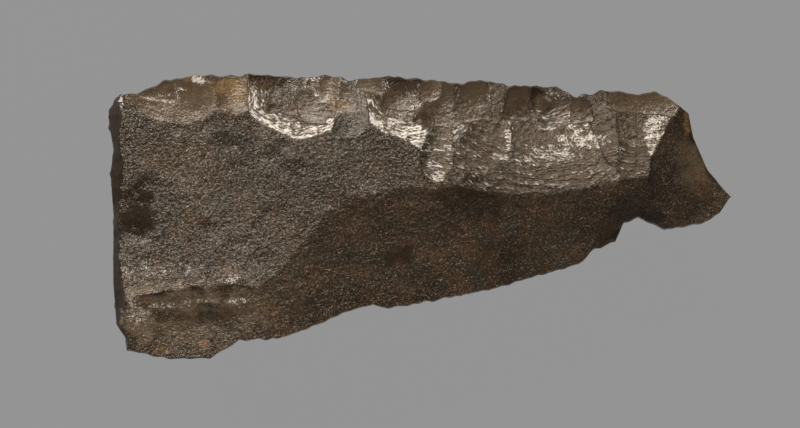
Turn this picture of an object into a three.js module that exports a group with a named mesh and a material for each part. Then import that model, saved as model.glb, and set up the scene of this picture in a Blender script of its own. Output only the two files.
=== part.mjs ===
// Stone hand axe: one block of dark brown flint, knapped all over by striking flakes
// off its edges. It lies on the flat facet of its underside, broad butt to the left.
// Millimetres. +X points to the narrow end, +Y to the finely worked long edge, +Z up.
// The origin is on the ground, under the middle of the stone's length and width.

import * as THREE from 'three';

// ---- driving dimensions ----

const topCell = 1.62;        // spacing of the surface points on the upper face
const underCell = 2.8;       // the same on the plainer underside
const endCell = 0.9;         // closer rows beside the steep butt and round the tip
const buttZone = 4.5;        // length of the closely spaced zone at the butt
const tipZone = 13;          // and at the tip
const buttFade = 20;         // how far in the ragged line of the butt still bends the rows
const edgeLip = 0.8;         // height of a scar above or below the edge line where it starts
const thinnest = 0.4;        // least half thickness beside the edge line
const stepSlope = 1.3;       // steepness of the small step where a flake broke off short
const dishStart = -1;        // y from which the great facet dishes up towards the lower edge
const dish = 0.0068;         // how strongly it does
const slideReach = 0.4;      // share of a cell that a point may slide to lie on an arris
const fitWeight = 4;         // how strongly the faceting follows the arrises
const flint = new THREE.MeshStandardMaterial({ color: 0x55483c, roughness: 0.45, metalness: 0 });

// ---- the outline: the edge line that runs round the stone ----

// x, y and height of the worked long edge, from the butt to the tip. Each flake that was
// struck off it left a shallow bay.
const upperEdge = [
  [-72, 29.4, 17], [-70.4, 29.6, 17.5], [-67, 30, 18.6], [-61, 32.6, 19.4], [-53.5, 34.1, 19.4],
  [-46, 33.8, 18.6], [-41, 34.4, 16.6], [-35, 34.1, 15.2], [-27, 33.6, 15], [-21.5, 34.2, 16],
  [-17.5, 32.9, 17], [-8, 33.9, 16], [2, 33.2, 14.5], [8, 32.2, 15], [14, 33, 15],
  [22, 31.8, 15], [33, 31.4, 13.5], [37.5, 29, 14.5], [43.5, 30.6, 13.5], [48, 30.4, 13.5],
  [52, 29.6, 13.5], [56, 30.4, 13.5], [60.5, 28.4, 13], [64.5, 25.2, 12.5], [65.6, 19.5, 12.5],
  [69, 11.8, 12], [75, 4.7, 11.5],
];

// The same for the thicker, slanting lower edge, with its notch near the tip.
const lowerEdge = [
  [-70, -32, 21], [-60, -34, 22.4], [-50, -33.8, 22.4], [-43, -29.8, 20.6], [-33, -29.2, 18.4],
  [-25, -26.3, 17.2], [-17, -22.8, 16.5], [-11.5, -21.4, 16], [-8, -22.3, 16.2], [0, -21, 16.5],
  [12, -18.7, 16], [17.5, -17.6, 15.7], [22, -16.2, 15.5], [32, -13.4, 15.5], [38, -11.6, 15.3],
  [42, -8, 15.5], [46.6, -6.4, 15], [48.6, -1.9, 15.2], [52, -0.6, 15.3], [55, -1.8, 14.5],
  [58.5, -3.6, 13.8], [64, -2.6, 12.8], [68, -2, 12.2], [72, 0.6, 11.8], [75, 4.7, 11.5],
];

// y, x and width of the steep bevel along the butt, from the lower corner upwards.
const buttEdge = [
  [-32, -70, 2.2], [-28.6, -70.4, 3.2], [-25.5, -72.6, 4.6], [-16, -73.4, 3.6], [-9, -73.5, 1.8],
  [0.5, -73.5, 1.6], [6, -73.9, 3.4], [10.6, -74.3, 3.6], [16, -73.6, 2.4], [21, -74.5, 3],
  [24, -75, 3.4], [28, -73.5, 2.4], [29.4, -72, 1.5],
];

// Reads column `pick` of a line of points at the place `at` of their first column.
function along(line, at, pick = 1) {
  const next = line.findIndex((point) => point[0] >= at);
  if (next === 0) return line[0][pick];
  if (next < 0) return line[line.length - 1][pick];
  const [before, after] = [line[next - 1], line[next]];
  const share = (at - before[0]) / (after[0] - before[0]);
  return before[pick] + share * (after[pick] - before[pick]);
}

// The corner of a line nearest to a place, if it is within reach, and else the place itself.
function nearCorner(line, at, reach) {
  const corner = line.find((point) => Math.abs(point[0] - at) < reach);
  return corner ? corner[0] : at;
}

const buttX = (y) => along(buttEdge, y);
const buttTop = upperEdge[0][0];
const tipX = upperEdge[upperEdge.length - 1][0];

// Height of the edge line, carried across the stone from one long edge to the other.
function edgeHeight(x, y) {
  const low = along(lowerEdge, x);
  const high = along(upperEdge, x);
  const share = THREE.MathUtils.clamp((y - low) / Math.max(high - low, 0.1), 0, 1);
  return THREE.MathUtils.lerp(along(lowerEdge, x, 2), along(upperEdge, x, 2), share);
}

// ---- the two faces: what is left after every flake has come off ----

// side is +1 for the upper face and -1 for the underside. Of all its surfaces, the one
// that lies deepest in the stone shows.
function makeFace(side) {
  const surfaces = [];
  const deepest = (x, y) => side * Math.min(...surfaces.map((surface) => side * surface(x, y)));
  return { side, surfaces, height: deepest };
}

// A broad facet through a point, with its slope along X and along Y.
function facet([x0, y0, z0], [slopeX, slopeY]) {
  return (x, y) => z0 + slopeX * (x - x0) + slopeY * (y - y0);
}

// A flake scar: the shallow bowl from the point that was struck, on the edge, to the
// place where the flake ran out on the surface as it then was. hollow is its depth along
// the blow, curl its rise at either side, and bite how far it eats into the edge. sink is
// the height of the step at its end, sway makes the blow's path arch in its middle, and
// fan is the share by which the bowl is narrower at the point struck than at its end.
function scar(face, struck, end, width, hollow, curl, bite = 0, sink = 0, sway = 0, fan = 0) {
  const [px, py] = struck;
  const reach = Math.hypot(end[0] - px, end[1] - py);
  const dx = (end[0] - px) / reach;
  const dy = (end[1] - py) / reach;
  const start = edgeHeight(px, py) + face.side * (edgeLip - bite);
  const rise = face.height(...end) - face.side * sink - start;
  const turn = 2 * Math.PI;
  face.surfaces.push((x, y) => {
    const way = ((x - px) * dx + (y - py) * dy) / reach;
    const wide = width * (1 - fan * THREE.MathUtils.clamp(1 - way, 0, 1));
    const aside = (2 * ((y - py) * dx - (x - px) * dy)) / wide;
    const swing = (sway * Math.sin(turn * THREE.MathUtils.clamp(way, 0, 1))) / turn;
    const step = stepSlope * reach * Math.max(way - 1, 0);
    const bowl = curl * aside ** 2 - 4 * hollow * way * (1 - way) + step;
    return start + rise * (way - swing) + face.side * bowl;
  });
}

// ---- upper face ----

const top = makeFace(1);

// The old surface of the block: the great facet of the butt half, which dishes up towards
// the lower edge, and the two slopes that thin the narrow end.
const greatPlane = facet([-45, 4, 22.3], [0.01, -0.02]);
const greatFacet = (x, y) => greatPlane(x, y) + dish * Math.min(y - dishStart, 0) ** 2;
top.surfaces.push(greatFacet);
top.surfaces.push(facet([45, 6, 21.8], [-0.22, 0.2]));
top.surfaces.push(facet([66, 5, 15.8], [-0.4, 0.1]));

// The steep bevel left by blows on the butt. It rises from the edge line to the great facet.
top.surfaces.push((x, y) => {
  const inward = (x - buttX(y)) / along(buttEdge, y, 2);
  return THREE.MathUtils.lerp(edgeHeight(x, y) + thinnest, greatFacet(x, y), inward);
});

// Lower edge: the two wide scars that meet the great facet in the diagonal arris, and the
// one at the butt's corner.
scar(top, [26, -15], [15, 8.5], 84, 0.2, 4.5);
scar(top, [0, -24], [-23.5, -0.5], 56, 0.3, 3.3);
scar(top, [-53, -34.5], [-56, -16.6], 46, 0.9, 2.2);

// Worked edge: the row of deep scars, from the butt to the tip, in the order struck.
scar(top, [-59, 34], [-62, 22.9], 38, 0.6, 3.6, 0, 0.3);
scar(top, [-45, 34], [-44.5, 25.5], 10, 0.2, 1.6, 0.2, 1.3);
scar(top, [-61, 32.6], [-62, 28.2], 15, 0.2, 1.6, 0.2, 0.4);
scar(top, [-29, 34], [-30, 19], 28, 0.9, 4.6);
scar(top, [-26.5, 34], [-28.5, 22.9], 16, 0.4, 3.6, 0, 0.6);
scar(top, [-27.5, 34], [-28.2, 24.4], 15, 0.0, 2.2, 0, 0.9);
scar(top, [-1.8, 33.3], [-8.7, 20.1], 34, 1.0, 1.2);
scar(top, [-2, 33], [-6.5, 22.9], 20, 0.6, 1.8, 0, 0.45);
scar(top, [-3, 33], [-4.6, 25.6], 12, 0.3, 1.6, 0, 0.5);
scar(top, [-16, 32], [-18.0, 19.3], 12, 0.0, 1.8, 0, 0.6);
scar(top, [-17.5, 33], [-18.4, 24.7], 10, 0.2, 1.6, 0, 0.8);
scar(top, [-23.2, 33.8], [-23, 27.3], 7, 0.2, 1.4, 0.4, 0.5);
scar(top, [7.5, 32.5], [2.8, 8.2], 9.5, 1.2, 3);
scar(top, [5, 32.4], [4.6, 22], 13, 0.2, 1.8, 0, 0.5);
scar(top, [32, 31.5], [30.5, 5.4], 60, 0.9, 5.5, 0, 0, 0.6, 0.6);
scar(top, [31, 31.5], [33.0, 21.8], 17, 0.6, 2.4, 0, 0.3);
scar(top, [21.5, 32.6], [13, 10.3], 34, 1.5, 3.0, 0, 0.3);
scar(top, [26, 31.6], [24.4, 23.6], 17, 0.2, 2.4, 0, 0.4);
scar(top, [12.4, 33], [13.6, 23], 20, 0.4, 2.4, 0, 0.6);
scar(top, [3, 33], [2.6, 28], 7, 0.1, 1.2, 0.3, 0.4);
scar(top, [-10.5, 33.5], [-11.3, 29.4], 15, 0.1, 1.4, 0.3, 0.9);
scar(top, [55, 30], [53.5, 9.4], 20, 1.0, 3.0);
scar(top, [41.5, 30.3], [46.2, 12.6], 13, 0.9, 2.6, 0, 0.3);
scar(top, [36.8, 29.2], [38, 22.6], 12, 0.3, 1.6, 0.2, 0.4);
scar(top, [54, 30], [53.3, 25.4], 17, 0.1, 1.0, 0.5, 0.5);

// Tip: the shallow facet that runs in from the right, and the chip on the butt's corner.
scar(top, [67.5, 15], [55.6, 14.6], 44, 0.6, 1.2);
scar(top, [-74.6, 28.6], [-71.2, 26.8], 8, 0.2, 2, 1);

// Lower edge again: the round notch.
scar(top, [52, -0.5], [51.8, 5.4], 15, 0.1, 2.0);

// ---- underside ----

const under = makeFace(-1);

// The flat facet that the stone lies on, and the slopes that lift off it towards the
// butt and the tip.
under.surfaces.push(facet([0, 0, 0], [0, 0]));
under.surfaces.push(facet([-58, 0, 0], [-0.3, 0]));
under.surfaces.push(facet([38, 0, 0], [0.24, 0]));

// Short steep scars under the lower edge, then longer flatter ones under the worked edge.
scar(under, [-62, -34], [-50, -12], 38, 2.4, 5);
scar(under, [-40, -29.3], [-38, -13], 20, 1.2, 4);
scar(under, [-19, -23.5], [-12, -5], 34, 2.4, 5.5);
scar(under, [2, -20.4], [5, -7], 17, 1, 3.5);
scar(under, [24, -15.5], [15, 1], 30, 1.8, 5);
scar(under, [43, -7.5], [33, 4], 19, 1, 3.5);
scar(under, [-60, 33], [-52, 11], 33, 1.8, 4.5);
scar(under, [-39, 34.3], [-38, 19], 19, 1.2, 3.5);
scar(under, [-16, 33], [-23, 10], 32, 2, 5);
scar(under, [7, 32.4], [2, 17], 20, 1.2, 3.5);
scar(under, [29, 31.5], [18, 9], 33, 2, 5);
scar(under, [50, 30], [39, 13], 23, 1.2, 4);

// The butt and the tip.
scar(under, [-74.5, 17], [-61, 14], 24, 1, 3.5);
scar(under, [-73.5, -10], [-59, -5], 34, 1.6, 4.5);
scar(under, [67, 17], [45, 9], 27, 1, 3.5);
scar(under, [60, -3], [47, 6], 20, 0.8, 3.5);

// Small trimming scars along both long edges.
scar(under, [-49, -33], [-47, -25], 13, 0.6, 2, 0.3);
scar(under, [-30, -27.8], [-29, -21], 10, 0.4, 1.6, 0.3);
scar(under, [-5, -21.8], [-6, -14.5], 12, 0.6, 2, 0.3);
scar(under, [34, -12.8], [32, -7], 10, 0.4, 1.6, 0.3);
scar(under, [-49, 34], [-48, 26.5], 14, 0.6, 2, 0.3);
scar(under, [-29, 33.8], [-29, 28], 9, 0.4, 1.6, 0.3);
scar(under, [-3, 33.4], [-3, 25], 13, 0.6, 2, 0.3);
scar(under, [17, 32.3], [16, 26.5], 9, 0.4, 1.6, 0.3);
scar(under, [39, 29.5], [36, 22], 13, 0.6, 2, 0.3);
scar(under, [59, 29], [54, 22.5], 12, 0.6, 2, 0.3);

// ---- the surface points: rows across the stone, one after another ----

// How far a point may slide sideways so that the meeting line of the two deepest
// surfaces runs through it, which keeps the arrises sharp.
function slideToArris(face, x, y, limit) {
  const order = (px, py) => face.surfaces.map((surface) => face.side * surface(px, py));
  const depths = order(x, y);
  const first = depths.indexOf(Math.min(...depths));
  const others = depths.map((depth, which) => (which === first ? Infinity : depth));
  const second = others.indexOf(Math.min(...others));
  const gap = (px, py) => face.surfaces[second](px, py) - face.surfaces[first](px, py);
  const step = 0.05;
  const slopeX = (gap(x + step, y) - gap(x - step, y)) / (2 * step);
  const slopeY = (gap(x, y + step) - gap(x, y - step)) / (2 * step);
  const steepness = slopeX ** 2 + slopeY ** 2;
  const move = -gap(x, y) / steepness;
  if (Math.abs(move) * Math.sqrt(steepness) > limit) return [x, y];
  return [x + move * slopeX, y + move * slopeY];
}

function edgePoint(x, y) {
  return { x, y, z: edgeHeight(x, y), onEdge: true };
}

function facePoint(face, x, y) {
  const [px, py] = slideToArris(face, x, y, slideReach * topCell);
  const middle = edgeHeight(px, py);
  const depth = Math.max(face.side * (face.height(px, py) - middle), thinnest);
  return { x: px, y: py, z: middle + face.side * depth, onEdge: false };
}

// The first row is the butt itself, so all its points lie on the edge line.
function makeButtRow(cell) {
  const [low, high] = [buttEdge[0][0], buttEdge[buttEdge.length - 1][0]];
  const steps = Math.round((high - low) / cell);
  const row = [];
  for (let k = 0; k <= steps; k += 1) {
    const y = nearCorner(buttEdge, THREE.MathUtils.lerp(low, high, k / steps), cell / 2);
    row.push(edgePoint(buttX(y), y));
  }
  return row;
}

// Any other row of points, from the lower edge across the stone to the upper one.
function makeRow(face, station, spacing, cell) {
  if (station >= tipX) return [edgePoint(tipX, along(lowerEdge, tipX))];
  const fade = Math.max(0, 1 - (station - buttTop) / buttFade);
  const bent = (y) => station + fade * (buttX(y) - buttTop);
  const lowX = nearCorner(lowerEdge, bent(-Infinity), spacing / 2);
  const highX = nearCorner(upperEdge, bent(Infinity), spacing / 2);
  const [low, high] = [along(lowerEdge, lowX), along(upperEdge, highX)];
  const steps = Math.max(2, Math.round((high - low) / cell));
  const row = [edgePoint(lowX, low)];
  for (let k = 1; k < steps; k += 1) {
    const y = THREE.MathUtils.lerp(low, high, k / steps);
    row.push(facePoint(face, bent(y), y));
  }
  row.push(edgePoint(highX, high));
  return row;
}

// Where the rows stand along the stone, and how far each is from the next.
function makeStations() {
  const stations = [];
  let x = buttTop;
  while (x < tipX - endCell / 2) {
    const close = x < buttTop + buttZone || x > tipX - tipZone;
    const spacing = close ? endCell : topCell;
    stations.push({ x, spacing });
    x += spacing;
  }
  stations.push({ x: tipX, spacing: endCell });
  return stations;
}

// ---- the solid ----

// Joins neighbouring rows with triangles. Of the two ways on, it takes the shorter one
// that lies closer to the stone's surface, and never ties two points of the edge line.
function joinRows(face, left, right, addTriangle) {
  const cost = (a, b) => {
    const middle = face.height((a.x + b.x) / 2, (a.y + b.y) / 2);
    const misfit = Math.abs(middle - (a.z + b.z) / 2);
    const tied = a.onEdge && b.onEdge ? 1000 : 0;
    return Math.hypot(a.x - b.x, a.y - b.y, a.z - b.z) + fitWeight * misfit + tied;
  };
  let i = 0;
  let j = 0;
  while (i < left.length - 1 || j < right.length - 1) {
    const upLeft = i < left.length - 1 ? cost(left[i + 1], right[j]) : Infinity;
    const upRight = j < right.length - 1 ? cost(left[i], right[j + 1]) : Infinity;
    if (upLeft < upRight) {
      addTriangle(left[i], right[j], left[i + 1]);
      i += 1;
    } else {
      addTriangle(left[i], right[j], right[j + 1]);
      j += 1;
    }
  }
}

function makeStone() {
  const vertices = [];
  const triangles = [];
  const numberOf = (point) => {
    if (point.number === undefined) {
      point.number = vertices.length / 3;
      vertices.push(point.x, point.y, point.z);
    }
    return point.number;
  };
  const stations = makeStations();
  const topRows = stations.map(({ x, spacing }) => makeRow(top, x, spacing, topCell));
  const underRows = stations.map(({ x, spacing }) => makeRow(under, x, spacing, underCell));
  topRows[0] = makeButtRow(topCell);
  underRows[0] = topRows[0];
  for (let n = 1; n < stations.length; n += 1) {
    underRows[n][0] = topRows[n][0];
    underRows[n][underRows[n].length - 1] = topRows[n][topRows[n].length - 1];
  }
  for (let n = 1; n < stations.length; n += 1) {
    joinRows(top, topRows[n - 1], topRows[n], (a, b, c) => {
      triangles.push(numberOf(a), numberOf(b), numberOf(c));
    });
    joinRows(under, underRows[n - 1], underRows[n], (a, b, c) => {
      triangles.push(numberOf(a), numberOf(c), numberOf(b));
    });
  }
  const geometry = new THREE.BufferGeometry();
  geometry.setAttribute('position', new THREE.Float32BufferAttribute(vertices, 3));
  geometry.setIndex(triangles);
  geometry.computeVertexNormals();
  geometry.computeBoundingBox();
  const centre = geometry.boundingBox.getCenter(new THREE.Vector3());
  geometry.translate(-centre.x, -centre.y, -geometry.boundingBox.min.z);
  return geometry;
}

const stone = new THREE.Mesh(makeStone(), flint);
stone.name = 'axe_stone';

const axe = new THREE.Group();
axe.add(stone);

export default axe;
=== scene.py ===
import math

import bpy
import numpy as np
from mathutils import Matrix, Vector, noise


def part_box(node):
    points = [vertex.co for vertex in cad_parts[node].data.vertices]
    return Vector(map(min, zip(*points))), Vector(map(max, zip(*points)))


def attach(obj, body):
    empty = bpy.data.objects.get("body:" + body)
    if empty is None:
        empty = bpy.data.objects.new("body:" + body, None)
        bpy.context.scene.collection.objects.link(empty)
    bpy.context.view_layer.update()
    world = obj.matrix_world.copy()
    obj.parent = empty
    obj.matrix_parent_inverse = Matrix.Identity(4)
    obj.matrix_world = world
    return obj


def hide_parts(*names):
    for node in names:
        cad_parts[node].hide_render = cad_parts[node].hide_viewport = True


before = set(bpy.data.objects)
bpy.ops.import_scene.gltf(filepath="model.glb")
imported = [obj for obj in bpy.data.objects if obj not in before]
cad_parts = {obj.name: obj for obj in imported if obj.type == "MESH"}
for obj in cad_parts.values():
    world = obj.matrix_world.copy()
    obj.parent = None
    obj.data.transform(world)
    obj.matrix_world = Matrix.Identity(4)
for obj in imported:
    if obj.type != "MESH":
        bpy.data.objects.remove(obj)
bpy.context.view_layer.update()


# ---- The edge line ----
# The axe is one block of dark brown flint. All its flakes were struck off a single
# winding edge line, which runs from the butt along both long sides to the tip.

stone_low, stone_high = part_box("axe_stone")
middle = (stone_low + stone_high) / 2
drawn_length = 150                       # the lists and scars below are drawn at this length
mm = (stone_high.x - stone_low.x) / drawn_length

# x, y and height of the finely worked long edge, from the butt to the tip.
upper_edge = [
    (-72, 29.4, 17), (-70.4, 29.6, 17.5), (-67, 30, 18.6), (-61, 32.6, 19.4), (-53.5, 34.1, 19.4),
    (-46, 33.8, 18.6), (-41, 34.4, 16.6), (-35, 34.1, 15.2), (-27, 33.6, 15), (-21.5, 34.2, 16),
    (-17.5, 32.9, 17), (-8, 33.9, 16), (2, 33.2, 14.5), (8, 32.2, 15), (14, 33, 15),
    (22, 31.8, 15), (33, 31.4, 13.5), (37.5, 29, 14.5), (43.5, 30.6, 13.5), (48, 30.4, 13.5),
    (52, 29.6, 13.5), (56, 30.4, 13.5), (60.5, 28.4, 13), (64.5, 25.2, 12.5), (65.6, 19.5, 12.5),
    (69, 11.8, 12), (75, 4.7, 11.5),
]

# The same for the thicker, slanting lower edge, with its notch near the tip.
lower_edge = [
    (-70, -32, 21), (-60, -34, 22.4), (-50, -33.8, 22.4), (-43, -29.8, 20.6), (-33, -29.2, 18.4),
    (-25, -26.3, 17.2), (-17, -22.8, 16.5), (-11.5, -21.4, 16), (-8, -22.3, 16.2), (0, -21, 16.5),
    (12, -18.7, 16), (17.5, -17.6, 15.7), (22, -16.2, 15.5), (32, -13.4, 15.5), (38, -11.6, 15.3),
    (42, -8, 15.5), (46.6, -6.4, 15), (48.6, -1.9, 15.2), (52, -0.6, 15.3), (55, -1.8, 14.5),
    (58.5, -3.6, 13.8), (64, -2.6, 12.8), (68, -2, 12.2), (72, 0.6, 11.8), (75, 4.7, 11.5),
]

# y, x and width of the steep bevel along the butt, from the lower corner upwards.
butt_edge = [
    (-32, -70, 2.2), (-28.6, -70.4, 3.2), (-25.5, -72.6, 4.6), (-16, -73.4, 3.6), (-9, -73.5, 1.8),
    (0.5, -73.5, 1.6), (6, -73.9, 3.4), (10.6, -74.3, 3.6), (16, -73.6, 2.4), (21, -74.5, 3),
    (24, -75, 3.4), (28, -73.5, 2.4), (29.4, -72, 1.5),
]

butt_top = upper_edge[0][0]
tip_x, tip_y = upper_edge[-1][:2]


def along(line, at, pick=1):
    """the picked column of an edge list, read at a place given in its first column"""
    listed = np.array(line).T
    return np.interp(at, listed[0], listed[pick])


def edge_height(x, y):
    low, high = along(lower_edge, x), along(upper_edge, x)
    share = np.clip((y - low) / np.maximum(high - low, 0.1), 0, 1)
    return along(lower_edge, x, 2) * (1 - share) + along(upper_edge, x, 2) * share


# ---- The flake scars ----
# Every flake left a shallow bowl that starts at the point struck, on the edge, and runs
# out on the surface of its time. The shock went through the flint in rings, so many
# scars carry ripples round that point, and crushed, scaly stone near their far end.
# That stone is painted white, both as crushed stone and as painted highlight where it faces the light.

edge_lip = 0.8            # height of a scar above or below the edge line where it starts
thinnest = 0.4            # least half thickness beside the edge line
step_slope = 1.3          # steepness of the small step where a flake broke off short
streak_stretch = 0.26     # the streaks round a point struck are this much narrower than long


lattice_size = 64         # the random lumps repeat after this many


def drift(x, y, size, seed):
    """a smooth random height between -1 and 1, with lumps of that size in millimetres"""
    lattice = np.random.default_rng(seed).uniform(-1, 1, (lattice_size, lattice_size))
    u, v = np.asarray(x) / size, np.asarray(y) / size
    i, j = np.floor(u).astype(int), np.floor(v).astype(int)
    u, v = u - i, v - j
    u, v = u * u * (3 - 2 * u), v * v * (3 - 2 * v)
    i2, j2 = (i + 1) % lattice_size, (j + 1) % lattice_size
    i, j = i % lattice_size, j % lattice_size
    near = lattice[i, j] * (1 - u) + lattice[i2, j] * u
    far = lattice[i, j2] * (1 - u) + lattice[i2, j2] * u
    return near * (1 - v) + far * v


def ramp(value, low, high):
    """0 below the low value and 1 above the high one, with a smooth rise between them"""
    share = np.clip((value - low) / (high - low), 0, 1)
    return share * share * (3 - 2 * share)


class Finish:
    """ripple height and spacing, grain near the blow and far off, crushed stone with painted highlight, and
    tones
    """

    def __init__(self, ring, spacing, near, far, crushed_and_highlight, warm, dark=0.0, tan=0.0):
        self.ring = ring
        self.spacing = spacing
        self.near = near
        self.far = far
        self.crushed_and_highlight = crushed_and_highlight
        self.warm = warm
        self.dark = dark
        self.tan = tan


old_skin = Finish(0, 1, 1.0, 1.0, 0.0, 0.3)
dark_skin = Finish(0.07, 2.6, 0.8, 0.8, 0.0, 0.5)
smooth_tan = Finish(0.08, 1.8, 0.15, 0.35, 0.0, 0.3, 0.0, 0.42)
smooth_dark = Finish(0.10, 1.8, 0.12, 0.40, 0.0, 0.3, 0.0, 0.2)
dull_dark = Finish(0.08, 2.0, 0.75, 0.80, 0.0, 0.2, 0.3)
smooth_brown = Finish(0.08, 1.8, 0.35, 0.50, 0.0, 0.5, 0.0, 0.3)
rippled = Finish(0.34, 1.5, 0.15, 0.80, 0.9, 0.2)
rough_rippled = Finish(0.75, 2.2, 0.20, 0.60, 0.25, 0.2, 0.0, 0.3)
banded = Finish(0.60, 2.0, 0.25, 0.70, 0.4, 0.2, 0.0, 0.3)
soft_rippled = Finish(0.20, 1.6, 0.10, 0.45, 0.3, 0.3)
# bevel_dark paints the steep bevel of the butt nearly black, as painted shade.
bevel_dark = Finish(0.06, 2.0, 0.25, 0.25, 0.0, 0.3, 1.0)
granular = Finish(0.10, 1.8, 0.9, 0.7, 0.0, 0.4)
tip_skin = Finish(0.09, 1.8, 0.4, 0.7, 0.0, 0.5)
plain = Finish(0.10, 1.8, 0.35, 0.5, 0.0, 0.45)


# What a look returns for each point, in this order.
columns = ("relief", "grain", "crushed_and_highlight", "warm", "dark", "tan", "ripple", "ring_place", "arc_place")
relief_at, crushed_and_highlight_at, dark_at, ripple_at = map(columns.index, ("relief", "crushed_and_highlight", "dark", "ripple"))


class Face:
    """One side of the stone. Of all its surfaces, the one deepest in the stone shows."""

    def __init__(self, side):
        self.side = side
        self.surfaces = []
        self.looks = []

    def add(self, surface, look):
        self.surfaces.append(surface)
        self.looks.append(look)

    def depths(self, x, y):
        wander_x = 0.7 * drift(x, y, 6.0, 11) + 0.3 * drift(x, y, 2.1, 12)
        wander_y = 0.7 * drift(x, y, 6.0, 13) + 0.3 * drift(x, y, 2.1, 14)
        return np.array([self.side * surface(x + wander_x, y + wander_y) for surface in self.surfaces])

    def height(self, x, y):
        return self.side * self.depths(x, y).min(0)

    def details(self, x, y, owner):
        """fine relief and look of the surface that shows at each point, as the looks return it"""
        details = np.zeros((len(x), len(columns)))
        for number, look in enumerate(self.looks):
            mine = owner == number
            details[mine] = look(x[mine], y[mine])
        return details


faint = 0.25              # the finest waves on a facet, against those on a scar


def even_look(finish):
    def look(x, y):
        relief = 0.5 * finish.ring * drift(x, y, finish.spacing, 35)
        even = np.ones(len(x))
        return np.array([relief, even * finish.near, even * finish.crushed_and_highlight, even * finish.warm,
                         even * finish.dark, even * finish.tan, even * faint * finish.ring, x, y]).T
    return look


def facet(face, at, slope, finish, swell=0.0):
    x0, y0, z0 = at

    def surface(x, y):
        return (z0 + slope[0] * (x - x0) + slope[1] * (y - y0) +
                face.side * swell * (drift(x, y, 9.0, 31) + 0.4 * drift(x, y, 3.5, 32)))

    face.add(surface, even_look(finish))


def scar(face, struck, end, width, hollow, curl, bite=0.0, sink=0.0, sway=0.0, finish=plain, fan=0.0):
    """a flake scar from the point struck to its far end, on what the face shows by then

    It is hollow in the middle and curls up at the sides. The bite lowers its start and the
    sink its end. Sway bends its run, and fan narrows it towards the point struck.
    """
    struck, end = np.array(struck), np.array(end)
    reach = np.hypot(*(end - struck))
    dx, dy = (end - struck) / reach
    start = edge_height(*struck) + face.side * (edge_lip - bite)
    rise = face.height(*end) - face.side * sink - start

    def measure(x, y):
        from_x, from_y = x - struck[0], y - struck[1]
        way = (from_x * dx + from_y * dy) / reach
        aside = 2 * (from_y * dx - from_x * dy) / (width * (1 - fan * np.clip(1 - way, 0, 1)))
        return way, aside, np.hypot(from_x, from_y)

    def surface(x, y):
        way, aside, _ = measure(x, y)
        bowl = curl * aside ** 2 - 4 * hollow * way * (1 - way) + step_slope * reach * np.maximum(way - 1, 0)
        swing = sway * np.sin(2 * math.pi * np.clip(way, 0, 1)) / (2 * math.pi)
        return start + rise * (way - swing) + face.side * bowl

    def look(x, y):
        way, aside, radius = measure(x, y)
        arc = np.arctan2(aside * width / 2, way * reach) * reach
        wavy = radius + 0.7 * drift(x, y, 5.0, 21) + 0.15 * drift(x, y, 1.6, 23)
        turn = (wavy / finish.spacing) % 1
        wave = 0.5 - np.minimum(turn / 0.7, (1 - turn) / 0.3)
        out = np.hypot(way, 0.85 * aside)
        fade = np.clip(out, 0, 1.1) ** 1.5
        ripples = fade * wave * np.clip(0.55 + 0.9 * drift(x, y, 4.0, 22), 0.1, 1.2)
        hackle = 0.25 * fade * drift(arc, radius * 0.25, 1.3, 24)
        crumbs = 0.3 * fade * np.abs(drift(x, y, 1.3, 25))
        patchy = 0.5 * drift(x, y, 3.0, 41) + 0.3 * drift(x, y, 1.1, 42)
        grain = finish.near + (finish.far - finish.near) * ramp(out + 0.35 * patchy, 0.3, 0.75)
        # crushed stone and painted highlight: whiter towards the far end, where the scar faces the light
        crushed_and_highlight = finish.crushed_and_highlight * ramp(out + 0.45 * patchy, 0.5, 0.95) * ramp(way + 0.2 * patchy, 0.15, 0.6)
        crushed_and_highlight = np.clip(crushed_and_highlight * (1 + 0.8 * wave), 0, 1)
        even = np.ones(len(x))
        return np.array([finish.ring * (ripples + hackle + crumbs), grain, crushed_and_highlight, even * finish.warm,
                         even * finish.dark, even * finish.tan, even * finish.ring * (0.3 + fade),
                         wavy if finish.crushed_and_highlight else x, streak_stretch * arc if finish.crushed_and_highlight else y]).T

    face.add(surface, look)


top = Face(1)

# The old surface of the block: the great facet of the butt half, which dishes up towards
# the lower edge, and the two slopes that thin the narrow end.
great_height = 22.3
dish_start, dish = -1, 0.0068


def great_facet(x, y):
    tilt = 0.01 * (x + 45) - 0.02 * (y - 4)
    lumps = 0.30 * drift(x, y, 11.0, 33) + 0.20 * drift(x, y, 3.6, 34) + 0.06 * drift(x, y, 1.7, 36)
    return great_height + tilt + dish * np.minimum(y - dish_start, 0) ** 2 + lumps


top.add(great_facet, even_look(old_skin))
facet(top, (45, 6, 21.8), (-0.22, 0.2), dark_skin, 0.3)
facet(top, (66, 5, 15.8), (-0.4, 0.1), dark_skin, 0.2)


def butt_bevel(x, y):
    inward = (x - along(butt_edge, y)) / along(butt_edge, y, 2)
    line = edge_height(x, y) + thinnest
    return line + (great_facet(x, y) - line) * inward


# The steep bevel is painted nearly black, as painted shade.
top.add(butt_bevel, even_look(bevel_dark))

# Lower edge: the two wide scars that meet the great facet in the diagonal arris, and the
# one at the butt's corner.
scar(top, (26, -15), (15, 8.5), 84, 0.2, 4.5, 0, 0, 0, dark_skin)
scar(top, (0, -24), (-23.5, -0.5), 56, 0.3, 3.3, 0, 0, 0, dark_skin)
scar(top, (-53, -34.5), (-56, -16.6), 46, 0.9, 2.2, 0, 0, 0, granular)

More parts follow.
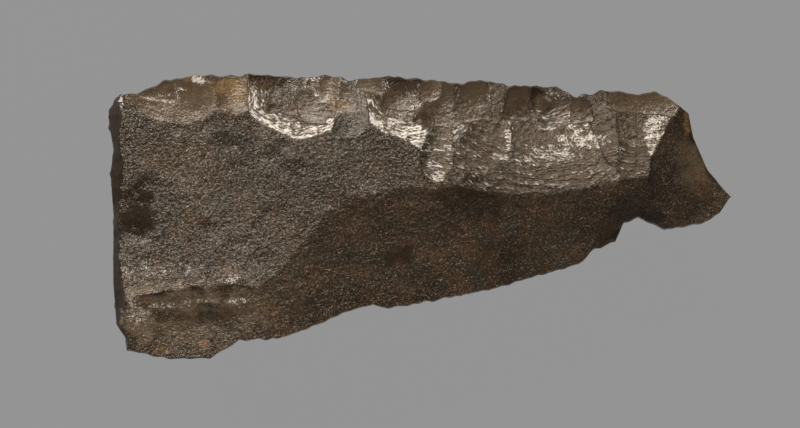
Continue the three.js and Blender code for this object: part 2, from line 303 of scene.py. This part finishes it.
# Worked edge: the row of deep scars, from the butt to the tip, in the order struck.
scar(top, (-59, 34), (-62, 22.9), 38, 0.6, 3.6, 0, 0.3, 0, smooth_tan)
scar(top, (-45, 34), (-44.5, 25.5), 10, 0.2, 1.6, 0.2, 1.3, 0, smooth_brown)
scar(top, (-61, 32.6), (-62, 28.2), 15, 0.2, 1.6, 0.2, 0.4, 0, smooth_tan)
scar(top, (-29, 34), (-30, 19), 28, 0.9, 4.6, 0, 0, 0, rippled)
scar(top, (-26.5, 34), (-28.5, 22.9), 16, 0.4, 3.6, 0, 0.6, 0, smooth_dark)
scar(top, (-27.5, 34), (-28.2, 24.4), 15, 0.0, 2.2, 0, 0.9, 0, smooth_dark)
scar(top, (-1.8, 33.3), (-8.7, 20.1), 34, 1.0, 1.2, 0, 0, 0, rippled)
scar(top, (-2, 33), (-6.5, 22.9), 20, 0.6, 1.8, 0, 0.45, 0, soft_rippled)
scar(top, (-3, 33), (-4.6, 25.6), 12, 0.3, 1.6, 0, 0.5, 0, smooth_dark)
scar(top, (-16, 32), (-18.0, 19.3), 12, 0.0, 1.8, 0, 0.6, 0, dull_dark)
scar(top, (-17.5, 33), (-18.4, 24.7), 10, 0.2, 1.6, 0, 0.8, 0, smooth_brown)
scar(top, (-23.2, 33.8), (-23, 27.3), 7, 0.2, 1.4, 0.4, 0.5, 0, smooth_tan)
scar(top, (7.5, 32.5), (2.8, 8.2), 9.5, 1.2, 3, 0, 0, 0, banded)
scar(top, (5, 32.4), (4.6, 22), 13, 0.2, 1.8, 0, 0.5, 0, smooth_dark)
scar(top, (32, 31.5), (30.5, 5.4), 60, 0.9, 5.5, 0, 0, 0.6, rough_rippled, 0.6)
scar(top, (31, 31.5), (33.0, 21.8), 17, 0.6, 2.4, 0, 0.3, 0, soft_rippled)
scar(top, (21.5, 32.6), (13, 10.3), 34, 1.5, 3.0, 0, 0.3, 0, rough_rippled)
scar(top, (26, 31.6), (24.4, 23.6), 17, 0.2, 2.4, 0, 0.4, 0, smooth_dark)
scar(top, (12.4, 33), (13.6, 23), 20, 0.4, 2.4, 0, 0.6, 0, smooth_dark)
scar(top, (3, 33), (2.6, 28), 7, 0.1, 1.2, 0.3, 0.4, 0, smooth_tan)
scar(top, (-10.5, 33.5), (-11.3, 29.4), 15, 0.1, 1.4, 0.3, 0.9, 0, smooth_tan)
scar(top, (55, 30), (53.5, 9.4), 20, 1.0, 3.0, 0, 0, 0, rough_rippled)
scar(top, (41.5, 30.3), (46.2, 12.6), 13, 0.9, 2.6, 0, 0.3, 0, rough_rippled)
scar(top, (36.8, 29.2), (38, 22.6), 12, 0.3, 1.6, 0.2, 0.4, 0, smooth_dark)
scar(top, (54, 30), (53.3, 25.4), 17, 0.1, 1.0, 0.5, 0.5, 0, smooth_tan)

# Tip: the shallow facet that runs in from the right, and the chip on the butt's corner.
scar(top, (67.5, 15), (55.6, 14.6), 44, 0.6, 1.2, 0, 0, 0, tip_skin)
scar(top, (-74.6, 28.6), (-71.2, 26.8), 8, 0.2, 2, 1, 0, 0, bevel_dark)

# Lower edge again: the round notch.
scar(top, (52, -0.5), (51.8, 5.4), 15, 0.1, 2.0, 0, 0, 0, dark_skin)

# The underside: the flat facet that the stone lies on, the slopes that lift off it, short
# steep scars under the lower edge and longer ones under the worked edge.
under = Face(-1)
facet(under, (0, 0, 0), (0, 0), old_skin)
facet(under, (-58, 0, 0), (-0.3, 0), old_skin)
facet(under, (38, 0, 0), (0.24, 0), old_skin)
# Each is given by its point struck, far end, width, hollow, curl and, for the small ones, bite.
under_scars = [
    ((-62, -34), (-50, -12), 38, 2.4, 5), ((-40, -29.3), (-38, -13), 20, 1.2, 4),
    ((-19, -23.5), (-12, -5), 34, 2.4, 5.5), ((2, -20.4), (5, -7), 17, 1, 3.5),
    ((24, -15.5), (15, 1), 30, 1.8, 5), ((43, -7.5), (33, 4), 19, 1, 3.5),
    ((-60, 33), (-52, 11), 33, 1.8, 4.5), ((-39, 34.3), (-38, 19), 19, 1.2, 3.5),
    ((-16, 33), (-23, 10), 32, 2, 5), ((7, 32.4), (2, 17), 20, 1.2, 3.5),
    ((29, 31.5), (18, 9), 33, 2, 5), ((50, 30), (39, 13), 23, 1.2, 4),
    ((-74.5, 17), (-61, 14), 24, 1, 3.5), ((-73.5, -10), (-59, -5), 34, 1.6, 4.5),
    ((67, 17), (45, 9), 27, 1, 3.5), ((60, -3), (47, 6), 20, 0.8, 3.5),
    ((-49, -33), (-47, -25), 13, 0.6, 2, 0.3), ((-30, -27.8), (-29, -21), 10, 0.4, 1.6, 0.3),
    ((-5, -21.8), (-6, -14.5), 12, 0.6, 2, 0.3), ((34, -12.8), (32, -7), 10, 0.4, 1.6, 0.3),
    ((-49, 34), (-48, 26.5), 14, 0.6, 2, 0.3), ((-29, 33.8), (-29, 28), 9, 0.4, 1.6, 0.3),
    ((-3, 33.4), (-3, 25), 13, 0.6, 2, 0.3), ((17, 32.3), (16, 26.5), 9, 0.4, 1.6, 0.3),
    ((39, 29.5), (36, 22), 13, 0.6, 2, 0.3), ((59, 29), (54, 22.5), 12, 0.6, 2, 0.3),
]
for sizes in under_scars:
    scar(under, *sizes)


# ---- The skin of the stone ----
# The broken surface is taken point by point, in rows across the stone. Points beside an
# arris are slid onto it, so that the arrises stay sharp, and then rounded a little by wear.

row_gap = 0.34           # spacing of the rows, and of the points on the upper face
under_gap = 0.8          # spacing along the rows on the underside
butt_fade = 20           # how far in the ragged line of the butt still bends the rows
edge_round = 0.45        # width of the strip that closes down to the edge line
arris_wear = 0.12        # height taken off a sharp arris is a quarter of this
chip_depth = 0.6         # small ragged bites all along the edge line
chips_per_mm = 0.45      # how close together they are
rub_and_highlight = 0.45               # how far the arrises of the worked edge are painted white, as rubbed stone and painted highlight
arris_painted_shade = 0.9         # painted shade in the corners beside those arrises


def ragged(line_place, seed):
    return np.array([chip_depth * (0.5 + noise.noise((place * chips_per_mm, seed, 0.0)))
                     for place in line_place])


def slide_to_arris(face, x, y, limit):
    """moves points that are nearer than the limit to an arris onto it"""
    depths = face.depths(x, y)
    first, second = np.argpartition(depths, 1, axis=0)[:2]
    step = 0.04            # over which the slopes are measured

    def gap(px, py):
        values = face.depths(px, py)
        return (np.take_along_axis(values, second[None], 0) -
                np.take_along_axis(values, first[None], 0))[0]

    here = gap(x, y)
    slope_x = (gap(x + step, y) - gap(x - step, y)) / (2 * step)
    slope_y = (gap(x, y + step) - gap(x, y - step)) / (2 * step)
    steep = np.maximum(slope_x ** 2 + slope_y ** 2, 1e-9)
    move = -here / steep
    near = np.abs(move) * np.sqrt(steep) < limit
    return x + np.where(near, move * slope_x, 0), y + np.where(near, move * slope_y, 0)


outline = ([point[:2] for point in lower_edge] + [point[:2] for point in reversed(upper_edge)] +
           [(x, y) for y, x, _ in reversed(butt_edge)])


def edge_distance(x, y):
    nearest = np.full(len(x), 1e9)
    for (ax, ay), (bx, by) in zip(outline, outline[1:] + outline[:1]):
        run_x, run_y = bx - ax, by - ay
        length = max(run_x ** 2 + run_y ** 2, 1e-9)
        share = np.clip(((x - ax) * run_x + (y - ay) * run_y) / length, 0, 1)
        nearest = np.minimum(nearest, np.hypot(x - ax - share * run_x, y - ay - share * run_y))
    return nearest


def lift(face, x, y):
    """height and look of the face at points already slid onto the arrises"""
    depths = face.depths(x, y)
    first, second = np.partition(depths, 1, axis=0)[:2]
    gap = second - first                       # none on an arris, and more away from it
    worn = first - arris_wear / 4 * np.clip(1 - gap / arris_wear, 0, 1) ** 2
    details = face.details(x, y, depths.argmin(0))
    worn += details[:, relief_at] * (0.1 + 0.9 * ramp(gap, 0, 0.3))
    # Only the arrises of the worked edge are painted white, as rubbed stone and painted highlight, and have
    # painted shade beside them.
    # rubbed stone and painted highlight: white along the arrises of the worked edge
    rubbed_and_highlight = rub_and_highlight * (1 - ramp(gap, 0.03, 0.2)) * ramp(drift(x, y, 2.4, 61), -0.4, 0.5)
    details[:, crushed_and_highlight_at] = np.maximum(details[:, crushed_and_highlight_at], rubbed_and_highlight * ramp(y, 13, 18))
    details[:, ripple_at] *= 0.5 + 0.5 * ramp(gap, 0, 0.15)
    # painted shade: a dark band beside the arrises of the worked edge
    shaded = arris_painted_shade * (1 - ramp(gap, 0.12, 0.4)) * ramp(drift(x, y, 3.1, 62), 0.9, -0.3)
    details[:, dark_at] = np.maximum(details[:, dark_at], shaded * ramp(y, 6, 12) * ramp(x, -35, -25))
    line = edge_height(x, y)
    depth = np.maximum(face.side * (face.side * worn - line), thinnest)
    if face is under:
        depth = np.minimum(depth, line)
    share = np.clip(edge_distance(x, y) / edge_round, 0, 1)
    z = line + face.side * depth * share * (2 - share)
    return z, details


def row_ends(stations):
    """how far each row follows the butt's line, and where it meets the two long edges"""
    fade = np.maximum(0, 1 - (stations - butt_top) / butt_fade)
    low_x = stations + fade * (butt_edge[0][1] - butt_top)
    low = along(lower_edge, low_x) + ragged(low_x, 1.0)
    high = along(upper_edge, stations) - ragged(stations, 5.0)
    return fade, low, high


def lay_rows(cell):
    stations = np.arange(butt_top, tip_x - row_gap / 2, row_gap)
    rows = []
    for station, fade, low, high in zip(stations, *row_ends(stations)):
        steps = max(2, round((high - low) / cell))
        y = np.linspace(low, high, steps + 1)
        rows.append(np.array([station + fade * (along(butt_edge, y) - butt_top), y]).T)
    rows[0][:, 0] += ragged(rows[0][:, 1], 9.0)
    rows.append(np.array([[tip_x, tip_y]]))
    return rows


never = 1000             # keeps a triangle from lying flat on the edge line


def join_rows(points, left, right, flip, triangles):
    """fills the strip between two rows, always across the shorter diagonal"""
    i = j = 0
    ring_left, ring_right = {left[0], left[-1]}, {right[0], right[-1]}
    whole_left = len(left) > 1 and left[1] < first_inner
    while i < len(left) - 1 or j < len(right) - 1:
        up_left = up_right = math.inf
        if i < len(left) - 1:
            up_left = math.dist(points[left[i + 1]], points[right[j]])
            tied = (whole_left or left[i + 1] in ring_left) and right[j] in ring_right
            up_left += never if tied else 0
        if j < len(right) - 1:
            up_right = math.dist(points[left[i]], points[right[j + 1]])
            tied = (whole_left or left[i] in ring_left) and right[j + 1] in ring_right
            up_right += never if tied else 0
        if up_left < up_right:
            corner = (left[i], right[j], left[i + 1])
            i += 1
        else:
            corner = (left[i], right[j], right[j + 1])
            j += 1
        triangles.append(corner[::-1] if flip else corner)


# The edge line's own points come first: the butt row, then both ends of every other row.
top_rows = lay_rows(row_gap)
under_rows = lay_rows(under_gap)
ring = list(map(tuple, top_rows[0]))
top_index = [list(range(len(ring)))]
under_index = [top_index[0]]
for row in top_rows[1:]:
    ends = [row[0], row[-1]] if len(row) > 1 else [row[0]]
    numbers = [len(ring) + k for k in range(len(ends))]
    ring += map(tuple, ends)
    top_index.append(numbers)
    under_index.append(list(numbers))
first_inner = len(ring)
ring = np.array(ring)
ring_z = edge_height(ring[:, 0], ring[:, 1])

inner, inner_tones = [], []
count = first_inner
for face, rows, index in ((top, top_rows, top_index), (under, under_rows, under_index)):
    middles = [row[1:-1] for row in rows[1:-1]]
    for numbers, row in zip(index[1:-1], middles):
        numbers[1:1] = range(count, count + len(row))
        count += len(row)
    x, y = np.concatenate(middles).T
    x, y = slide_to_arris(face, x, y, 0.4 * row_gap)
    z, tones = lift(face, x, y)
    inner.append(np.array([x, y, z]).T)
    inner_tones.append(tones)

points = np.concatenate([np.column_stack([ring, ring_z])] + inner)
ring_tones = np.zeros((first_inner, len(columns)))
ring_tones[:, columns.index("grain")] = 0.3
ring_tones[:, columns.index("warm")] = 0.5
ring_tones[:, -2:] = ring
tones = np.concatenate([ring_tones] + inner_tones)

point_list = points.tolist()
triangles = []
for index, flip in ((top_index, False), (under_index, True)):
    for left, right in zip(index, index[1:]):
        join_rows(point_list, left, right, flip, triangles)

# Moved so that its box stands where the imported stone's box does.
drawn_middle = (points.min(0) + points.max(0)) / 2
placed = (points - (drawn_middle[0], drawn_middle[1], 0)) * mm
placed += (middle.x, middle.y, stone_low.z)
skin = bpy.data.meshes.new("flint_skin")
skin.from_pydata(placed.tolist(), [], triangles)
skin.update()
stone = bpy.data.objects.new("flint_axe", skin)
bpy.context.scene.collection.objects.link(stone)

# Stains, rubbed places and patches of painted light and shade: x, y, half width and half height of each, and
# how strong it is.
stains = {
    # White patches: partly crushed stone, partly painted highlight on rims that face the light.
    "crushed_and_highlight": [(-52.3, 32.3, 1.9, 1.1, 1.2), (-61, 28.9, 2.6, 0.3, 0.6), (-57, 30.4, 1.4, 0.6, 0.7),
                (-71.2, 27.5, 0.5, 1.6, 1.0), (-67.5, -22.5, 3, 3.0, 0.5),
                (-61, -21.0, 7, 0.7, 0.5), (-50, -19.9, 7, 0.7, 0.45), (-43, -19.8, 3, 0.8, 0.6),
                (-62, -13, 11, 2.4, 0.36), (-13.5, 6, 5, 3, 0.25), (-44.5, -14.8, 3.2, 1.2, 0.5),
                (-37.6, 22.4, 2.4, 2.2, 0.9), (-31, 20.1, 4, 1.0, 0.8), (-24.4, 20.5, 2.6, 0.9, 0.7),
                (-13.2, 21.8, 3.0, 1.5, 1.0), (-9, 19.4, 3.2, 1.8, 1.0), (-4.8, 17.2, 2.8, 2.0, 1.0),
                (38.0, 18.6, 6.0, 3.4, 1.1), (31, 15.4, 7, 2.6, 1.1), (56.4, 20.4, 3.2, 6.2, 1.5),
                (22.2, 22.8, 1.4, 2.2, 1.2), (20.9, 18.6, 1.3, 2.8, 1.1), (17.6, 14.2, 3.0, 1.3, 1.0),
                (4, 12, 2.6, 0.7, 1.2), (5, 16, 2.6, 0.5, 1.2), (4, 9.8, 2.0, 0.6, 1.2),
                (58, 12.6, 0.8, 4, 0.3)],
    "ochre": [(-44.6, 30.5, 5.5, 3.0, 0.7), (-50.8, -30, 1.5, 1.1, 1.2), (-62, -31.5, 2, 1.2, 0.5),
              (63.8, 23, 0.9, 4, 0.9), (-36, -21, 2.2, 2.5, 0.3), (-64, 14, 3.5, 2.5, 0.1),
              (-55, 33, 2, 1, 0.8), (-19.5, 26.3, 2.2, 1.2, 0.5), (60, 29, 3, 1, 0.6)],
    "green": [(-66, 1.6, 5.5, 8, 1.2), (-46, 18.9, 5, 4, 0.9), (-17.5, 21.5, 4.5, 3, 0.5),
              (-48, -24, 8, 4, 0.35), (-30, 10, 14, 8, 0.4)],
    "smooth": [(-50, -22.8, 8.0, 2.2, 0.75), (-66, 1, 5, 7.5, 0.75), (-47, 18, 4.5, 3.5, 0.5),
               (-5.4, -8.9, 3, 2.6, 0.8), (13, 8.8, 5, 1.0, 0.7), (8, 6, 6, 3, 0.4),
               (-27.7, -22, 3.5, 2.5, 0.5), (-57, 17, 10, 4, 0.3)],
    # Tan patches: partly the stone's lighter brown, partly painted light on the lower-left slopes and the
    # great facet.
    "tan": [(-56, -19.5, 14, 3.5, 0.9), (-66, -25, 4.5, 5, 1.0), (-48, -20, 9, 2.0, 0.8),
            (-55, -28, 10, 4, 0.6), (-58, 12, 9, 5, 0.2), (-40, -23, 5, 4, 0.5),
            (34, 26, 7, 4, 0.4), (65, 12.5, 4.5, 5, 0.45), (50.5, 17, 3, 7, 0.6), (43, 14, 5, 6, 0.4),
            (-6, 27, 9, 4, 0.3)],
    # Dark patches: partly stains, partly painted shade along the first scar's far rim and the wall under the
    # worked edge's rims.
    "dark": [(12, 3.5, 9, 4.5, 0.65), (12.6, 8.8, 5.5, 1.0, 0.8), (51, 0.8, 8, 4, 0.45),
             (-5.4, -8.9, 3, 2.6, 0.5), (-67, 6, 6, 14, 0.8), (66, 2.5, 8, 4, 0.5),
             (-63.7, 20.3, 0.3, 2.6, 1.0), (-68, 20, 3, 2, 0.4), (30, 31, 10, 1.6, 0.5),
             (-59, 23.6, 9, 0.5, 0.6), (10, 31.5, 6, 1.2, 0.5),
             (-32, 8, 16, 9, 0.25), (26.2, 27, 1.2, 4, 0.5), (43.5, 22, 0.8, 5, 0.5)],
}


def stain_share(name, x, y):
    total = np.zeros(len(x))
    ragged_rim = 0.5 * drift(x, y, 2.6, 51) + 0.35 * drift(x, y, 1.0, 52)
    for stain_x, stain_y, half_wide, half_high, strength in stains[name]:
        away = np.hypot((x - stain_x) / half_wide, (y - stain_y) / half_high)
        total = np.maximum(total, strength * ramp(1.35 - away + ragged_rim, 0, 1))
    return total


place_x, place_y = points[:, 0], points[:, 1]
on_top = points[:, 2] > edge_height(place_x, place_y)
stained = {name: on_top * stain_share(name, place_x, place_y) for name in stains}
# painted shade: the top face darkens towards the worked edge, where it curves away
edge_painted_shade = (place_y > 8) * (1 - ramp(edge_distance(place_x, place_y), 0.3, 1.6))

_, grain, crushed_and_highlight, warm, dark, tan, ripple, ring_place, arc_place = tones.T
struck_off = (place_x > -40) & (place_y > 10)     # the rippled scars, where stains end at the arrises
broken = np.where(struck_off, ramp(ripple, 0.15, 0.3) * (0.6 + 1.2 * crushed_and_highlight), 1)
crushed_and_highlight = np.clip(np.maximum(crushed_and_highlight, broken * stained["crushed_and_highlight"]), 0, 1)
grain = np.maximum(grain * (1 - np.clip(stained["smooth"], 0, 1)), 0.5 * crushed_and_highlight)
tan = np.maximum(tan, stained["tan"])

# room is how freely the fine relief may move a point: not at all where the stone rests.
free_height = 0.6
attributes = {
    "grain": grain, "crushed_and_highlight": crushed_and_highlight, "warm": warm, "tan": tan, "ochre": stained["ochre"],
    "green": stained["green"], "dark": np.maximum(np.maximum(stained["dark"], dark), edge_painted_shade),
    "ripple": ripple, "ring_place": ring_place * mm, "arc_place": arc_place * mm,
    "room": np.clip(points[:, 2] / free_height, 0, 1),
}
for name, values in attributes.items():
    layer = skin.attributes.new(name, "FLOAT", "POINT")
    layer.data.foreach_set("value", values.astype(np.float32))


# ---- The flint itself ----
# Dark brown flint, nearly black inside, with a brown and olive patina and a waxy gloss.
# Its old skin and the far ends of the scars are sugary with tiny crystals, each of which
# lies at its own tilt and flashes when it faces the light. Iron has stained it in places.

flint = bpy.data.materials.new("flint")
flint.use_nodes = True
nodes, links = flint.node_tree.nodes, flint.node_tree.links
shader = nodes["Principled BSDF"]
shader.inputs["IOR"].default_value = 1.54
shader.inputs["Specular IOR Level"].default_value = 0.38
place = nodes.new("ShaderNodeTexCoord").outputs["Object"]


def noise_on(size, detail, rough=0.5, at=place):
    """noise whose lumps are about that many millimetres across"""
    texture = nodes.new("ShaderNodeTexNoise")
    texture.inputs["Scale"].default_value = 1 / (size * mm)
    texture.inputs["Detail"].default_value = detail
    texture.inputs["Roughness"].default_value = rough
    links.new(at, texture.inputs["Vector"])
    return texture.outputs["Fac"]


def tone(name):
    reader = nodes.new("ShaderNodeAttribute")
    reader.attribute_name = name
    return reader.outputs["Fac"]


def maths(operation, first, second, third=None):
    node = nodes.new("ShaderNodeMath")
    node.operation = operation
    for socket, value in zip(node.inputs, (first, second, third)):
        if value is None:
            continue
        if isinstance(value, (int, float)):
            socket.default_value = value
        else:
            links.new(value, socket)
    return node.outputs[0]


def spread(value, low, high, to_low=0.0, to_high=1.0):
    node = nodes.new("ShaderNodeMapRange")
    links.new(value, node.inputs["Value"])
    for name, number in (("From Min", low), ("From Max", high), ("To Min", to_low), ("To Max", to_high)):
        node.inputs[name].default_value = number
    return node.outputs["Result"]


def blend(share, first, second):
    node = nodes.new("ShaderNodeMix")
    node.data_type = "RGBA"
    links.new(share, node.inputs["Factor"])
    for name, value in (("A", first), ("B", second)):
        socket = next(s for s in node.inputs if s.name == name and s.type == "RGBA")
        if isinstance(value, tuple):
            socket.default_value = (*value, 1)
        else:
            links.new(value, socket)
    return next(s for s in node.outputs if s.type == "RGBA")


mottle = noise_on(0.9, 4, 0.65)
blotch = noise_on(4.0, 3, 0.55)
clouds = noise_on(12, 4, 0.55)
speckle = noise_on(0.35, 2, 0.6)
grain_tone = tone("grain")
crushed_and_highlight_tone = tone("crushed_and_highlight")

# Streaks that run round the point struck of each scar, and even specks on the old skin.
ring_map = nodes.new("ShaderNodeCombineXYZ")
links.new(tone("ring_place"), ring_map.inputs["X"])
links.new(tone("arc_place"), ring_map.inputs["Y"])
streaks = noise_on(0.36, 3, 0.62, ring_map.outputs[0])
ridges = noise_on(1.3, 2, 0.5, ring_map.outputs[0])

wave_height = 5.0         # of the streaks and ripples, against the height of the grains
black_brown = (0.016, 0.010, 0.0055)
brown = (0.046, 0.031, 0.018)
olive_grey = (0.030, 0.026, 0.017)
rust = (0.070, 0.034, 0.015)
ochre = (0.17, 0.100, 0.030)
moss_black = (0.017, 0.018, 0.014)
bone = (0.56, 0.53, 0.495)
tan_brown = (0.115, 0.085, 0.056)
pale_speck = (0.27, 0.222, 0.165)

body = blend(spread(mottle, 0.36, 0.66), black_brown, brown)
body = blend(spread(blotch, 0.42, 0.60, 0, 0.6), body, olive_grey)
body = blend(maths("MULTIPLY", tone("warm"), spread(blotch, 0.62, 0.40, 0, 0.75)), body, rust)
body = blend(maths("MULTIPLY", tone("green"), spread(clouds, 0.3, 0.6, 0.7, 1.0)), body, moss_black)
body = blend(spread(clouds, 0.44, 0.60, 0, 0.6), body, black_brown)
# The dark tone: stains, darker finishes and painted shade
body = blend(tone("dark"), body, black_brown)
body = blend(maths("MULTIPLY", tone("ochre"), spread(mottle, 0.35, 0.6, 0.25, 1.0)), body, ochre)
# The tan tone: the stone's lighter brown, and painted light
body = blend(maths("MULTIPLY", tone("tan"), spread(blotch, 0.3, 0.6, 0.5, 1.0)), body, tan_brown)
sugary = maths("MULTIPLY_ADD", crushed_and_highlight_tone, 0.8, grain_tone)
specks = maths("MULTIPLY", sugary, spread(speckle, 0.56, 0.68, 0, 0.56))
specks = maths("MULTIPLY", specks, spread(tone("dark"), 0, 1, 1.0, 0.25))
body = blend(specks, body, pale_speck)
# White of crushed stone and of painted highlight
plates = maths("MULTIPLY_ADD", ridges, 0.5, maths("MULTIPLY", streaks, 0.9))
whiteness = maths("MULTIPLY_ADD", crushed_and_highlight_tone, 0.19, plates)
white = maths("MULTIPLY", spread(crushed_and_highlight_tone, 0.05, 0.35), spread(whiteness, 0.80, 0.95, 0, 0.92))
body = blend(white, body, bone)
links.new(body, shader.inputs["Base Color"])
gloss = maths("MULTIPLY_ADD", speckle, 0.15, spread(grain_tone, 0, 1, 0.16, 0.30))
links.new(gloss, shader.inputs["Roughness"])

# Both heights are counted from their mean, so that no false step shows where a tone jumps.
grain_mean = 0.675
wave_mean = 0.75
relief = maths("MULTIPLY_ADD", noise_on(0.30, 2, 0.6), 0.35, noise_on(0.72, 3, 0.65))
relief = maths("MULTIPLY", maths("SUBTRACT", relief, grain_mean), spread(grain_tone, 0, 1, 0.06, 1.0))
waves = maths("SUBTRACT", maths("MULTIPLY_ADD", streaks, 0.5, ridges), wave_mean)
waves = maths("MULTIPLY", waves, maths("MULTIPLY", tone("ripple"), wave_height))
relief = maths("ADD", relief, waves)
bump = nodes.new("ShaderNodeBump")
bump.inputs["Strength"].default_value = 1.0
bump.inputs["Distance"].default_value = 0.4 * mm
links.new(relief, bump.inputs["Height"])

crystal_size = 0.32
crystal_tilt = 0.44       # how far the crystals of the old skin lean, each its own way
crystals = nodes.new("ShaderNodeTexVoronoi")
crystals.inputs["Scale"].default_value = 1 / (crystal_size * mm)
links.new(place, crystals.inputs["Vector"])


def vectors(operation, first, second=None, scale=None):
    node = nodes.new("ShaderNodeVectorMath")
    node.operation = operation
    links.new(first, node.inputs[0])
    if isinstance(second, tuple):
        node.inputs[1].default_value = second
    elif second is not None:
        links.new(second, node.inputs[1])
    if scale is not None:
        links.new(scale, node.inputs["Scale"])
    return node.outputs[0]


lean = vectors("SUBTRACT", crystals.outputs["Color"], (0.5, 0.5, 0.5))
lean = vectors("SCALE", lean, scale=maths("MULTIPLY", grain_tone, crystal_tilt))
facing = vectors("NORMALIZE", vectors("ADD", bump.outputs["Normal"], lean))
links.new(facing, shader.inputs["Normal"])


# ---- The fine relief ----
# Weather and use roughened the skin: low grains and small round pits cover the old
# surfaces and thin out on the smooth scars. The flat facet it rests on stays flat.

def relief_tree():
    tree = bpy.data.node_groups.new("weathered_skin", "GeometryNodeTree")
    face = tree.interface
    face.new_socket("Geometry", in_out="INPUT", socket_type="NodeSocketGeometry")
    for name, value in (("Grain Height", 0.36), ("Grain Size", 1.2), ("Pit Depth", 0.28), ("Pit Size", 1.6),
                        ("Seed", 4.0)):
        face.new_socket(name, in_out="INPUT", socket_type="NodeSocketFloat").default_value = value
    face.new_socket("Geometry", in_out="OUTPUT", socket_type="NodeSocketGeometry")
    node = tree.nodes.new
    join = tree.links.new
    given = node("NodeGroupInput")

    def calc(operation, *values):
        made = node("ShaderNodeMath")
        made.operation = operation
        for socket, value in zip(made.inputs, values):
            if isinstance(value, (int, float)):
                socket.default_value = value
            else:
                join(value, socket)
        return made.outputs[0]

    def named(name):
        reader = node("GeometryNodeInputNamedAttribute")
        reader.data_type = "FLOAT"
        reader.inputs["Name"].default_value = name
        return reader.outputs["Attribute"]

    def size_to_scale(size):
        return calc("DIVIDE", 1.0 / mm, size)

    grains = node("ShaderNodeTexNoise")
    grains.noise_dimensions = "4D"
    join(size_to_scale(given.outputs["Grain Size"]), grains.inputs["Scale"])
    join(given.outputs["Seed"], grains.inputs["W"])
    grains.inputs["Detail"].default_value = 3
    pits = node("ShaderNodeTexVoronoi")
    pits.voronoi_dimensions = "4D"
    join(size_to_scale(given.outputs["Pit Size"]), pits.inputs["Scale"])
    join(given.outputs["Seed"], pits.inputs["W"])
    grain_middle = 0.55        # level of the old surface between grain tops and hollows
    pit_reach = 0.35           # how much of its cell a pit takes up
    height = calc("SUBTRACT", grains.outputs[0], grain_middle)
    height = calc("MULTIPLY", height, given.outputs["Grain Height"])
    pit = calc("MAXIMUM", calc("SUBTRACT", pit_reach, pits.outputs["Distance"]), 0.0)
    height = calc("SUBTRACT", height, calc("MULTIPLY", pit, given.outputs["Pit Depth"]))
    height = calc("MULTIPLY", height, calc("MULTIPLY_ADD", named("grain"), 0.9, 0.1))
    height = calc("MULTIPLY", calc("MULTIPLY", height, named("room")), mm)
    scaled = node("ShaderNodeVectorMath")
    scaled.operation = "SCALE"
    join(node("GeometryNodeInputNormal").outputs[0], scaled.inputs[0])
    join(height, scaled.inputs["Scale"])
    moved = node("GeometryNodeSetPosition")
    join(given.outputs["Geometry"], moved.inputs["Geometry"])
    join(scaled.outputs[0], moved.inputs["Offset"])
    real = node("GeometryNodeRealizeInstances")
    join(moved.outputs[0], real.inputs[0])
    finished = node("GeometryNodeSetMaterial")
    finished.inputs["Material"].default_value = flint
    join(real.outputs[0], finished.inputs["Geometry"])
    join(finished.outputs[0], node("NodeGroupOutput").inputs[0])
    return tree


sharp_angle = 38          # arrises sharper than this are left crisp

weather = stone.modifiers.new("weather", "NODES")
weather.node_group = relief_tree()
ready = stone.evaluated_get(bpy.context.evaluated_depsgraph_get())
weathered = bpy.data.meshes.new_from_object(ready)
stone.modifiers.clear()
stone.data = weathered
weathered.shade_smooth()
weathered.set_sharp_from_angle(angle=math.radians(sharp_angle))
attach(stone, "root")
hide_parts("axe_stone")


# ---- Floor, light and camera ----
# A plain pale grey floor, a soft light low behind the worked edge, a weaker and wider one
# on the other side that gives no glints, and a camera that looks straight down.

half_floor = 2.0           # metres
floor_glow = 0.292         # the floor's own even light; it takes almost none from the lamps
floor_mesh = bpy.data.meshes.new("floor")
floor_mesh.from_pydata([(-half_floor, -half_floor, 0), (half_floor, -half_floor, 0),
                        (half_floor, half_floor, 0), (-half_floor, half_floor, 0)], [], [(0, 1, 2, 3)])
floor = bpy.data.objects.new("floor", floor_mesh)
bpy.context.scene.collection.objects.link(floor)
paper = bpy.data.materials.new("pale_floor")
paper.use_nodes = True
paper_shader = paper.node_tree.nodes["Principled BSDF"]
paper_shader.inputs["Base Color"].default_value = (0.004, 0.004, 0.004, 1)
paper_shader.inputs["Roughness"].default_value = 1.0
paper_shader.inputs["Specular IOR Level"].default_value = 0.0
paper_shader.inputs["Emission Color"].default_value = (1, 1, 1, 1)
paper_shader.inputs["Emission Strength"].default_value = floor_glow
floor_mesh.materials.append(paper)


def soft_light(name, position, wide, high, watts):
    lamp = bpy.data.lights.new(name, "AREA")
    lamp.shape = "RECTANGLE"
    lamp.size = wide
    lamp.size_y = high
    lamp.energy = watts
    lamp.color = (1.0, 0.91, 0.80)
    holder = bpy.data.objects.new(name, lamp)
    holder.location = position
    holder.rotation_euler = (-Vector(position)).to_track_quat("-Z", "Y").to_euler()
    bpy.context.scene.collection.objects.link(holder)
    return holder


soft_light("key_light", (-0.24, 0.60, 0.30), 0.6, 0.28, 14)
fill = soft_light("fill_light", (0.20, -0.55, 0.55), 1.2, 0.9, 4.2)
fill.visible_glossy = False

world = bpy.data.worlds.new("studio")
world.use_nodes = True
world.node_tree.nodes["Background"].inputs["Color"].default_value = (0.8, 0.82, 0.85, 1)
world.node_tree.nodes["Background"].inputs["Strength"].default_value = 0.08
bpy.context.scene.world = world

view_width = 192.4 * mm            # what the picture is wide, at the height of the edge line
edge_level = 13 * mm
view_x, view_y = -5.15 * mm, 0.4 * mm
camera_data = bpy.data.cameras.new("camera")
camera_data.lens = 120
camera_data.sensor_width = 36
camera_data.clip_end = 20
camera = bpy.data.objects.new("camera", camera_data)
camera_height = view_width * camera_data.lens / camera_data.sensor_width
camera.location = (middle.x + view_x, middle.y + view_y, stone_low.z + edge_level + camera_height)
bpy.context.scene.collection.objects.link(camera)
bpy.context.scene.camera = camera
bpy.context.scene.view_settings.view_transform = "Standard"
